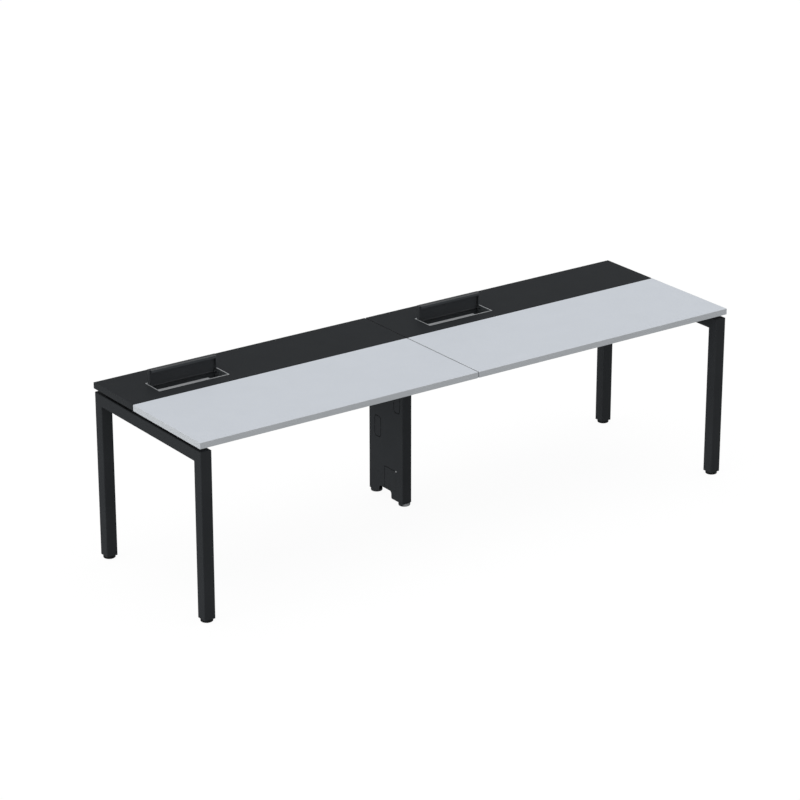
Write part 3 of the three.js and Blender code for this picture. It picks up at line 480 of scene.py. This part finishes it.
def facing_along(tree, axis):
    """1 on a face that is square to X, Y or Z, whichever way it looks, and 0 on one that lies along it."""
    place = tree.nodes.new("ShaderNodeTexCoord")
    axes = tree.nodes.new("ShaderNodeSeparateXYZ")
    either_way = tree.nodes.new("ShaderNodeMath")
    either_way.operation = "ABSOLUTE"
    tree.links.new(place.outputs["Normal"], axes.inputs["Vector"])
    tree.links.new(axes.outputs[axis], either_way.inputs[0])
    return either_way.outputs["Value"]


lid_finish = finishes["dark_aluminium"]
# Painted shade: faces that turn away from Y, such as the lit ends, the roll and the lip, are painted
# darker.
lead_over(lid_finish, facing_along(lid_finish.node_tree, "Y"), BROAD_FACE_FROM, EDGE_FROM, LID_PAINTED_SHADE_COLOUR)
print(f"lid dark where it turns {math.degrees(math.acos(EDGE_FROM)):.0f} degrees from its broad faces")

# %% [markdown]
# Pads, plugs, caps and spacers are moulded in black plastic, from a mould that was roughened by sparks, so
# the skin is an even fine crackle. A Voronoi texture would give sharp cells, but sparks leave soft pits, so
# a noise with little detail comes closer. The two pads under the riser are of a grey kind, and the front
# one is painted pale on its front, on the side of the seats, as a painted highlight. Painting that
# highlight by hand would need an unwrapped pad. Here it is a colour led over along Y, with a noise added to
# the distance, so it frays.

# %% Moulded plastic
CRACKLE = 0.0004
CRACKLE_HEIGHT = 0.00003
PLASTIC_ROUGHNESS = (0.55, 0.72)


def moulded(name, low, high, shine):
    tree, shader = start_finish(name, {"Specular IOR Level": shine})
    crackle = grain(tree, CRACKLE, detail=1.0)
    colour_by(tree, shader, crackle, low, high)
    roughness_by(tree, shader, crackle, *PLASTIC_ROUGHNESS)
    relief_by(tree, shader, crackle, CRACKLE_HEIGHT)


moulded("black_plastic", low=(22, 23, 24), high=(28, 29, 30), shine=0.08)
moulded("grey_plastic", low=(46, 48, 50), high=(53, 55, 57), shine=0.1)
print(f"two plastics, with a crackle of {1000 * CRACKLE:.1f} mm")

# %% The painted highlight on the riser's front pad
PAINTED_HIGHLIGHT_COLOUR = (150, 152, 154)
HIGHLIGHT_SPOT = 0.0025
HIGHLIGHT_FRAY = 0.003
# Shares of the pad's radius, counted from its front
HIGHLIGHT_STARTS = 0.5
HIGHLIGHT_ENDS = 0.1


def frayed_place(tree, axis, size, fray):
    """How far a point lies along X, Y or Z, made uneven by spots of some size and depth."""
    spots = grain(tree, size)
    uneven = tree.nodes.new("ShaderNodeMath")
    uneven.operation = "MULTIPLY_ADD"
    uneven.inputs[1].default_value = fray
    tree.links.new(spots, uneven.inputs[0])
    tree.links.new(place_along(tree, axis), uneven.inputs[2])
    return uneven.outputs["Value"]


pad_finish = finishes["grey_plastic"]
highlighted_low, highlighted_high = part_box("riser_front_foot_pad")
highlighted_radius = (highlighted_high.y - highlighted_low.y) / 2
highlight_start = highlighted_low.y + HIGHLIGHT_STARTS * highlighted_radius
highlight_end = highlighted_low.y + HIGHLIGHT_ENDS * highlighted_radius
highlight = frayed_place(pad_finish.node_tree, "Y", HIGHLIGHT_SPOT, HIGHLIGHT_FRAY)
# A pale painted highlight over the front of the pad, on the side of the seats.
lead_over(pad_finish, highlight, highlight_start, highlight_end, PAINTED_HIGHLIGHT_COLOUR)
print(f"the scuff fades over {1000 * (highlight_start - highlight_end):.1f} mm")

# %% [markdown]
# Studs, pins and screws are steel with a thin bright zinc plate, which clouds slightly as it ages. A plain
# metal of one grey would look like chrome. A noise of a few millimetres, fine enough for pieces this small,
# changes the colour and the roughness together, so the duller spots are also the paler ones.

# %% Zinc plate
ZINC_CLOUD = 0.004
ZINC_CLOUD_HEIGHT = 0.00003
ZINC_ROUGHNESS = (0.3, 0.48)


def zinc_plate(name, low, high, metal):
    tree, shader = start_finish(name, {"Metallic": metal})
    cloud = grain(tree, ZINC_CLOUD, detail=4.0)
    colour_by(tree, shader, cloud, low, high)
    roughness_by(tree, shader, cloud, *ZINC_ROUGHNESS)
    relief_by(tree, shader, cloud, ZINC_CLOUD_HEIGHT)


zinc_plate("plated_steel", low=(150, 152, 154), high=(176, 177, 178), metal=0.85)
print(f"{len(finishes)} finishes in all")

# %% [markdown]
# Each piece of the frame names the finish that it takes, so one loop dresses them all. Their round edges
# come as narrow flat facets. Subdividing would round them, but it would also swell the flat faces, so only
# the shading is smoothed. A small group of geometry nodes joins the facets at their shared edges and
# shades them smooth where two of them meet at a low angle. A Weighted Normal modifier then lets the wide
# faces win, so that they stay flat right up to the rounding.

# %% Shading that rounds the edges
JOIN_DISTANCE = 5e-6


def rounding_group(name, limit):
    group = bpy.data.node_groups.new(name, "GeometryNodeTree")
    group.interface.new_socket("Geometry", in_out="INPUT", socket_type="NodeSocketGeometry")
    group.interface.new_socket("Geometry", in_out="OUTPUT", socket_type="NodeSocketGeometry")
    start = group.nodes.new("NodeGroupInput")
    end = group.nodes.new("NodeGroupOutput")
    bare_mesh = group.nodes.new("GeometryNodeRemoveAttribute")
    bare_mesh.inputs["Name"].default_value = "custom_normal"
    join = group.nodes.new("GeometryNodeMergeByDistance")
    join.inputs["Distance"].default_value = JOIN_DISTANCE
    faces = group.nodes.new("GeometryNodeSetShadeSmooth")
    edges = group.nodes.new("GeometryNodeSetShadeSmooth")
    edges.domain = "EDGE"
    angle = group.nodes.new("GeometryNodeInputMeshEdgeAngle")
    low_angle = group.nodes.new("FunctionNodeCompare")
    low_angle.operation = "LESS_THAN"
    low_angle.inputs["B"].default_value = limit
    group.links.new(angle.outputs["Unsigned Angle"], low_angle.inputs["A"])
    group.links.new(low_angle.outputs["Result"], edges.inputs["Shade Smooth"])
    chain = [start, bare_mesh, join, faces, edges, end]
    for earlier, later in zip(chain, chain[1:]):
        group.links.new(earlier.outputs["Geometry"], later.inputs["Geometry"])
    return group


print(f"facets are joined where they lie within {1e6 * JOIN_DISTANCE:.0f} micrometres")

# %% Dressing the pieces of the frame
ROUND_ANGLE = math.radians(35.0)
ARRIS_ANGLE = math.radians(50.0)
ARRIS_PIECES = ("edge_band", "bezel", "lid")
# Rails in the gap under the boards take the near-black painted shade instead of their slot's finish.
SHADE_PAINTED_PIECES = "_rail"

round_shading = rounding_group("round_shading", ROUND_ANGLE)
arris_shading = rounding_group("arris_shading", ARRIS_ANGLE)
slots = {part["node"]: part["material_slot"] for part in frame["record"]["subparts"]}
for node, slot in slots.items():
    piece = nodes[node]
    finish_name = "shadow_gap_shade" if node.endswith(SHADE_PAINTED_PIECES) else slot
    piece.data.materials.clear()
    piece.data.materials.append(finishes[finish_name])
    rounding = piece.modifiers.new("rounding", "NODES")
    rounding.node_group = arris_shading if node.endswith(ARRIS_PIECES) else round_shading
    flat = piece.modifiers.new("flat_faces", "WEIGHTED_NORMAL")
    flat.keep_sharp = True
print(f"{len(slots)} pieces dressed")

# %% [markdown]
# Screws, feet and welds are all skins over a row of rings: quads join each ring to the next, and a flat
# face closes each end, so every piece is a closed solid. Primitives with booleans would make the same
# forms with untidy faces, but rings keep the faces even and let a thread or a hexagon be a formula
# for the radius. A shape is a list of points and a list of faces, drawn upright at the origin. It is then
# moved to its place, and many shapes can make up one piece.

# %% Rings and skins
def ring(height, radius, count):
    """One level ring of points. The radius is a number, or a function of the angle round the axis."""
    points = []
    for i in range(count):
        angle = 2 * math.pi * i / count
        reach = radius(angle) if callable(radius) else radius
        points.append(Vector((reach * math.cos(angle), reach * math.sin(angle), height)))
    return points


def skin(rings):
    """Quads from each ring to the next, and a flat face over the first and the last one."""
    count = len(rings[0])
    points = [point for level in rings for point in level]
    last = count * (len(rings) - 1)
    faces = []
    for start in range(0, last, count):
        for i in range(count):
            j = (i + 1) % count
            faces.append((start + i, start + j, start + count + j, start + count + i))
    faces.append(tuple(reversed(range(count))))
    faces.append(tuple(range(last, last + count)))
    return points, faces


drum_points, drum_faces = skin([ring(0.0, 1.0, 12), ring(1.0, 1.0, 12)])
print(f"a drum of two rings has {len(drum_points)} points and {len(drum_faces)} faces")

# %% Pieces from shapes
SHARP_ANGLE = math.radians(38.0)
UP = Vector((0.0, 0.0, 1.0))


def moved(shape, place, axis=UP):
    """The shape with its foot at a place and its own Z turned to an axis."""
    turn = UP.rotation_difference(Vector(axis)).to_matrix().to_4x4()
    matrix = Matrix.Translation(Vector(place)) @ turn
    points, faces = shape
    return [matrix @ point for point in points], faces


def make_piece(name, shapes, slot, body, *stands_for):
    """One piece of one or more shapes. It moves with a body, and it may stand for nodes of the frame."""
    points = []
    faces = []
    for shape_points, shape_faces in shapes:
        start = len(points)
        points.extend(shape_points)
        faces.extend(tuple(start + i for i in face) for face in shape_faces)
    mesh = bpy.data.meshes.new(name)
    mesh.from_pydata(points, [], faces)
    mesh.shade_smooth()
    mesh.set_sharp_from_angle(angle=SHARP_ANGLE)
    mesh.materials.append(finishes[slot])
    piece = bpy.data.objects.new(name, mesh)
    scene.collection.objects.link(piece)
    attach(piece, body)
    if stands_for:
        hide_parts(*stands_for)
    print(f"{name}: {len(shapes)} shapes, {len(faces)} faces")


print(f"edges over {math.degrees(SHARP_ANGLE):.0f} degrees stay sharp")

# %% [markdown]
# Six feet screw in and out of the legs and the riser. Each is a thick round pad on a threaded stud. The
# pads are turned shapes: a profile of height and radius, with round rims, spun round its axis. The thread
# is a formula too: at each height the ring's radius goes up and down once per turn, and the next ring is
# turned a little further, so the crest winds up the stud. A Screw modifier could wind a profile in the
# same way, but it leaves the ends open. Each pad and stud rides on its own body, so it turns and travels
# with it.

# %% The shape of a pad
PAD_SIDES = 64
RIM_ROUND = 0.0028
RIM_STEPS = 6
GRIP_DEPTH = 0.0006
GRIP_HALF = 0.0012


def pad_shape(radius, height, bore, bore_floor):
    rim = []
    for step in range(RIM_STEPS + 1):
        angle = math.pi / 2 * step / RIM_STEPS
        rim.append((RIM_ROUND * (1 - math.cos(angle)), radius - RIM_ROUND * (1 - math.sin(angle))))
    middle = height / 2
    profile = [
        *rim,
        (middle - GRIP_HALF, radius),
        (middle - GRIP_HALF / 2, radius - GRIP_DEPTH),
        (middle + GRIP_HALF / 2, radius - GRIP_DEPTH),
        (middle + GRIP_HALF, radius),
        *[(height - above, reach) for above, reach in reversed(rim)],
        (height, bore),
        (bore_floor, bore),
    ]
    return skin([ring(level, reach, PAD_SIDES) for level, reach in profile])


print(f"pads with rims rounded by {1000 * RIM_ROUND:.1f} mm")

# %% The shape of a threaded stud
STUD_SIDES = 20
STUD_TAPER = 0.0012
THREAD_PITCH = 0.0015
THREAD_DEPTH = 0.0009
THREAD_LEVELS = 6


def stud_shape(radius, length):
    def thread(height):
        taper = max(0.0, STUD_TAPER - min(height, length - height))

        def reach(angle):
            phase = (height / THREAD_PITCH - angle / (2 * math.pi)) % 1.0
            crest = radius - THREAD_DEPTH * abs(2 * phase - 1)
            return min(crest, radius - taper)

        return reach

    levels = round(length / THREAD_PITCH * THREAD_LEVELS)
    heights = [length * level / levels for level in range(levels + 1)]
    return skin([ring(height, thread(height), STUD_SIDES) for height in heights])


print(f"thread of {1000 * THREAD_PITCH:.1f} mm pitch")

# %% The six feet in their places
SEATS = ("left", "right")
ROWS = ("front", "rear")
BORE_PLAY = 0.0003

for foot in [f"{stand}_{row}" for stand in (*SEATS, "riser") for row in ROWS]:
    pad_node = f"{foot}_foot_pad"
    stud_node = f"{foot}_foot_stud"
    pad_low, pad_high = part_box(pad_node)
    stud_low, stud_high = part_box(stud_node)
    centre = (pad_low + pad_high) / 2
    pad_radius = (pad_high.x - pad_low.x) / 2
    stud_radius = (stud_high.x - stud_low.x) / 2
    pad = pad_shape(pad_radius, pad_high.z, stud_radius + BORE_PLAY, stud_low.z - BORE_PLAY)
    stud = stud_shape(stud_radius, stud_high.z - stud_low.z)
    pad = moved(pad, (centre.x, centre.y, 0.0))
    stud = moved(stud, (centre.x, centre.y, stud_low.z))
    make_piece(f"{foot}_pad", [pad], slots[pad_node], f"{foot}_pad", pad_node)
    make_piece(f"{foot}_threaded_stud", [stud], "plated_steel", f"{foot}_stud", stud_node)

# %% [markdown]
# One bright screw holds the riser's hatch, six hold its cover, and a row along each flange holds the cable
# trays under the boards. They are button heads with a hexagon socket. A dot of paint would be enough from
# afar, but close by a screw is known by its dome and its socket. A hexagon is a ring whose radius grows
# towards each corner, so round and six-sided rings can follow each other on one skin, and the socket is
# the same skin turned inwards, with no boolean cut.

# %% The shape of a button-head screw
HEAD_SIDES = 24
SEAT_DEPTH = 0.0004
BUTTON_RADIUS = 0.0038
BUTTON_HEIGHT = 0.0022
BUTTON_RIM = 0.00055
BUTTON_STEPS = 5
CROWN_RADIUS = 0.00195
SOCKET_RADIUS = 0.0013
SOCKET_DEPTH = 0.0013


def hexagon(flat_radius):
    """The radius of a hexagon at an angle, from half its width across flats."""
    sixth = math.pi / 3

    def reach(angle):
        return flat_radius / math.cos(angle % sixth - sixth / 2)

    return reach


def button_screw():
    rings = [ring(-SEAT_DEPTH, BUTTON_RADIUS, HEAD_SIDES)]
    for step in range(BUTTON_STEPS + 1):
        angle = math.pi / 2 * step / BUTTON_STEPS
        level = BUTTON_RIM + (BUTTON_HEIGHT - BUTTON_RIM) * math.sin(angle)
        reach = CROWN_RADIUS + (BUTTON_RADIUS - CROWN_RADIUS) * math.cos(angle)
        rings.append(ring(level, reach, HEAD_SIDES))
    rings.append(ring(BUTTON_HEIGHT, hexagon(SOCKET_RADIUS), HEAD_SIDES))
    rings.append(ring(BUTTON_HEIGHT - SOCKET_DEPTH, hexagon(SOCKET_RADIUS), HEAD_SIDES))
    return skin(rings)


screw = button_screw()
print(f"button head {2000 * BUTTON_RADIUS:.1f} mm wide")

# %% Screws on the riser
HATCH_LIP = 0.007
COVER_SCREW_INSET = 0.008
COVER_SCREW_ENDS = 0.05
COVER_SCREW_COUNT = 3


def evenly(start, end, count):
    """Places at equal distances, from the start to the end and on both of them."""
    return [start + (end - start) * i / (count - 1) for i in range(count)]


riser_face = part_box("riser_case")[0].x
hatch_low, hatch_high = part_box("riser_hatch")
hatch_corner = (riser_face, hatch_low.y + HATCH_LIP / 2, hatch_high.z - HATCH_LIP)
make_piece("hatch_screw", [moved(screw, hatch_corner, (-1, 0, 0))], "plated_steel", "desk")

cover_low, cover_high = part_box("riser_cover")
cover_screws = []
for y in (cover_low.y + COVER_SCREW_INSET, cover_high.y - COVER_SCREW_INSET):
    for z in evenly(cover_low.z + COVER_SCREW_ENDS, cover_high.z - COVER_SCREW_ENDS, COVER_SCREW_COUNT):
        cover_screws.append(moved(screw, (cover_high.x, y, z), (1, 0, 0)))
make_piece("cover_screws", cover_screws, "plated_steel", "desk")

# %% Screws in the flanges of the trays
FLANGE_WIDTH = 0.014
FLANGE_SHEET = 0.0015
TRAY_SCREW_ENDS = 0.06
TRAY_SCREW_COUNT = 5

for seat in SEATS:
    tray_low, tray_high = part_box(f"{seat}_cable_tray")
    tray_screws = []
    for y in (tray_low.y + FLANGE_WIDTH / 2, tray_high.y - FLANGE_WIDTH / 2):
        for x in evenly(tray_low.x + TRAY_SCREW_ENDS, tray_high.x - TRAY_SCREW_ENDS, TRAY_SCREW_COUNT):
            tray_screws.append(moved(screw, (x, y, tray_high.z - FLANGE_SHEET), (0, 0, -1)))
    make_piece(f"{seat}_tray_screws", tray_screws, "plated_steel", "desk")

# %% [markdown]
# Each beam ends in a plate that is welded to it and bolted to the frame. The bolts have hexagon heads with
# a washer under them, and stand either side of the tube. A weld runs down each corner between tube and
# plate. A weld bead could be a plain rod, but a real one is laid in small overlapping puddles, so the rings
# of this one swell and shrink along its length, and taper at its ends.

# %% The shape of a hexagon bolt
BOLT_ACROSS_FLATS = 0.013
BOLT_HEAD = 0.0053
BOLT_BEVEL = 0.0007
BOLT_CROWN_RADIUS = 0.00624
WASHER_RADIUS = 0.008
WASHER_HEIGHT = 0.0016


def hexagon_bolt():
    six_sided = hexagon(BOLT_ACROSS_FLATS / 2)
    top = WASHER_HEIGHT + BOLT_HEAD
    return skin([
        ring(-SEAT_DEPTH, WASHER_RADIUS, HEAD_SIDES),
        ring(WASHER_HEIGHT, WASHER_RADIUS, HEAD_SIDES),
        ring(WASHER_HEIGHT, six_sided, HEAD_SIDES),
        ring(top - BOLT_BEVEL, six_sided, HEAD_SIDES),
        ring(top, BOLT_CROWN_RADIUS, HEAD_SIDES),
    ])


bolt = hexagon_bolt()
print(f"bolt {1000 * BOLT_ACROSS_FLATS:.0f} mm across flats")

# %% The shape of a weld bead
WELD_RADIUS = 0.0026
WELD_RIPPLE = 0.0005
WELD_SIDES = 10
# Share of the bead's radius that is left at its ends
WELD_TIP = 0.35
PUDDLE = 0.0036
PUDDLE_STEPS = 4


def weld_bead(length):
    levels = round(length / PUDDLE * PUDDLE_STEPS)
    rings = []
    for level in range(levels + 1):
        height = length * level / levels
        near_end = min(height, length - height) / WELD_RADIUS
        taper = min(1.0, WELD_TIP + (1 - WELD_TIP) * near_end)
        swell = abs(math.sin(math.pi * height / PUDDLE))
        radius = WELD_RADIUS - WELD_RIPPLE + WELD_RIPPLE * swell
        rings.append(ring(height, radius * taper, WELD_SIDES))
    return skin(rings)


print(f"weld bead {2000 * WELD_RADIUS:.1f} mm wide, a puddle every {1000 * PUDDLE:.1f} mm")

# %% Bolts and welds on the beams
END_PLATE = 0.004
BOLT_OFFSET = 0.026
BEAM_HALF_WIDTH = 0.015
WELD_END_GAP = 0.004

bolts = []
welds = []
for beam in [f"{seat}_{row}_beam" for seat in SEATS for row in ROWS]:
    beam_low, beam_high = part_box(beam)
    beam_y = (beam_low.y + beam_high.y) / 2
    beam_z = (beam_low.z + beam_high.z) / 2
    bead = weld_bead(beam_high.z - beam_low.z - 2 * WELD_END_GAP)
    for x, facing in ((beam_low.x + END_PLATE, 1), (beam_high.x - END_PLATE, -1)):
        for side in (-1, 1):
            bolts.append(moved(bolt, (x, beam_y + side * BOLT_OFFSET, beam_z), (facing, 0, 0)))
            welds.append(moved(bead, (x, beam_y + side * BEAM_HALF_WIDTH, beam_low.z + WELD_END_GAP)))
make_piece("beam_bolts", bolts, "plated_steel", "desk")
make_piece("beam_welds", welds, "black_coat", "desk")

# %% [markdown]
# At the top of each end leg the tubes are cut at 45 degrees, welded all round and ground nearly flush
# before they are coated. What is left is a faint raised line round the mitre. A bump in the coat could
# draw it, but it would leave the fine gap between the two tubes open. So it is made as an endless skin: a
# flat oval that is carried round the outline of the cut, half sunk into the tubes. One half of the oval
# lies along the leg and the other along the cross tube, so it folds over the outer edge with them.

# %% The outline of a mitre
TUBE_CORNER = 0.004
CORNER_STEPS = 5


def tube_outline(half, corner):
    """Points and outward directions round a square with round corners."""
    places = []
    for quarter in range(4):
        for step in range(CORNER_STEPS + 1):
            angle = math.pi / 2 * (quarter + step / CORNER_STEPS)
            across = half - corner
            centre_x = across if quarter in (0, 3) else -across
            centre_y = across if quarter in (0, 1) else -across
            out = Vector((math.cos(angle), math.sin(angle)))
            places.append((Vector((centre_x, centre_y)) + corner * out, out))
    return places


def endless_skin(rings):
    """A skin that runs on from its last ring into its first one."""
    count = len(rings[0])
    total = count * len(rings)
    points = [point for level in rings for point in level]
    faces = []
    for start in range(0, total, count):
        after = (start + count) % total
        for i in range(count):
            j = (i + 1) % count
            faces.append((start + i, start + j, after + j, after + i))
    return points, faces


print(f"tubes with corners rounded by {1000 * TUBE_CORNER:.0f} mm")

# %% Ground welds at the frame corners
SEAM_HALF_WIDTH = 0.0015
SEAM_PROUD = 0.00018
SEAM_SIDES = 8


def mitre_seam(centre, half, row_side):
    down_leg = -UP
    along_tube = Vector((0.0, -row_side, 0.0))
    rings = []
    for place, out in tube_outline(half, TUBE_CORNER):
        on_cut = centre + Vector((place.x, row_side * place.y, place.y))
        off_leg = Vector((out.x, row_side * out.y, 0.0))
        off_tube = Vector((out.x, 0.0, out.y))
        oval = []
        for i in range(SEAM_SIDES):
            angle = 2 * math.pi * i / SEAM_SIDES
            aside = SEAM_HALF_WIDTH * math.cos(angle)
            lean = (1.0 + math.cos(angle)) / 2
            outward = off_leg.lerp(off_tube, lean).normalized()
            way = along_tube if aside > 0 else down_leg
            oval.append(on_cut + SEAM_PROUD * math.sin(angle) * outward + abs(aside) * way)
        rings.append(oval if row_side > 0 else oval[::-1])
    return endless_skin(rings)


seams = []
for seat in SEATS:
    tube_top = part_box(f"{seat}_cross_tube")[1].z
    for row, row_side in zip(ROWS, (-1, 1)):
        leg_low, leg_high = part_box(f"{seat}_{row}_leg")
        half = (leg_high.x - leg_low.x) / 2
        centre = (leg_low + leg_high) / 2
        centre.z = tube_top - half
        seams.append(mitre_seam(centre, half, row_side))
make_piece("frame_corner_seams", seams, "black_coat", "desk")
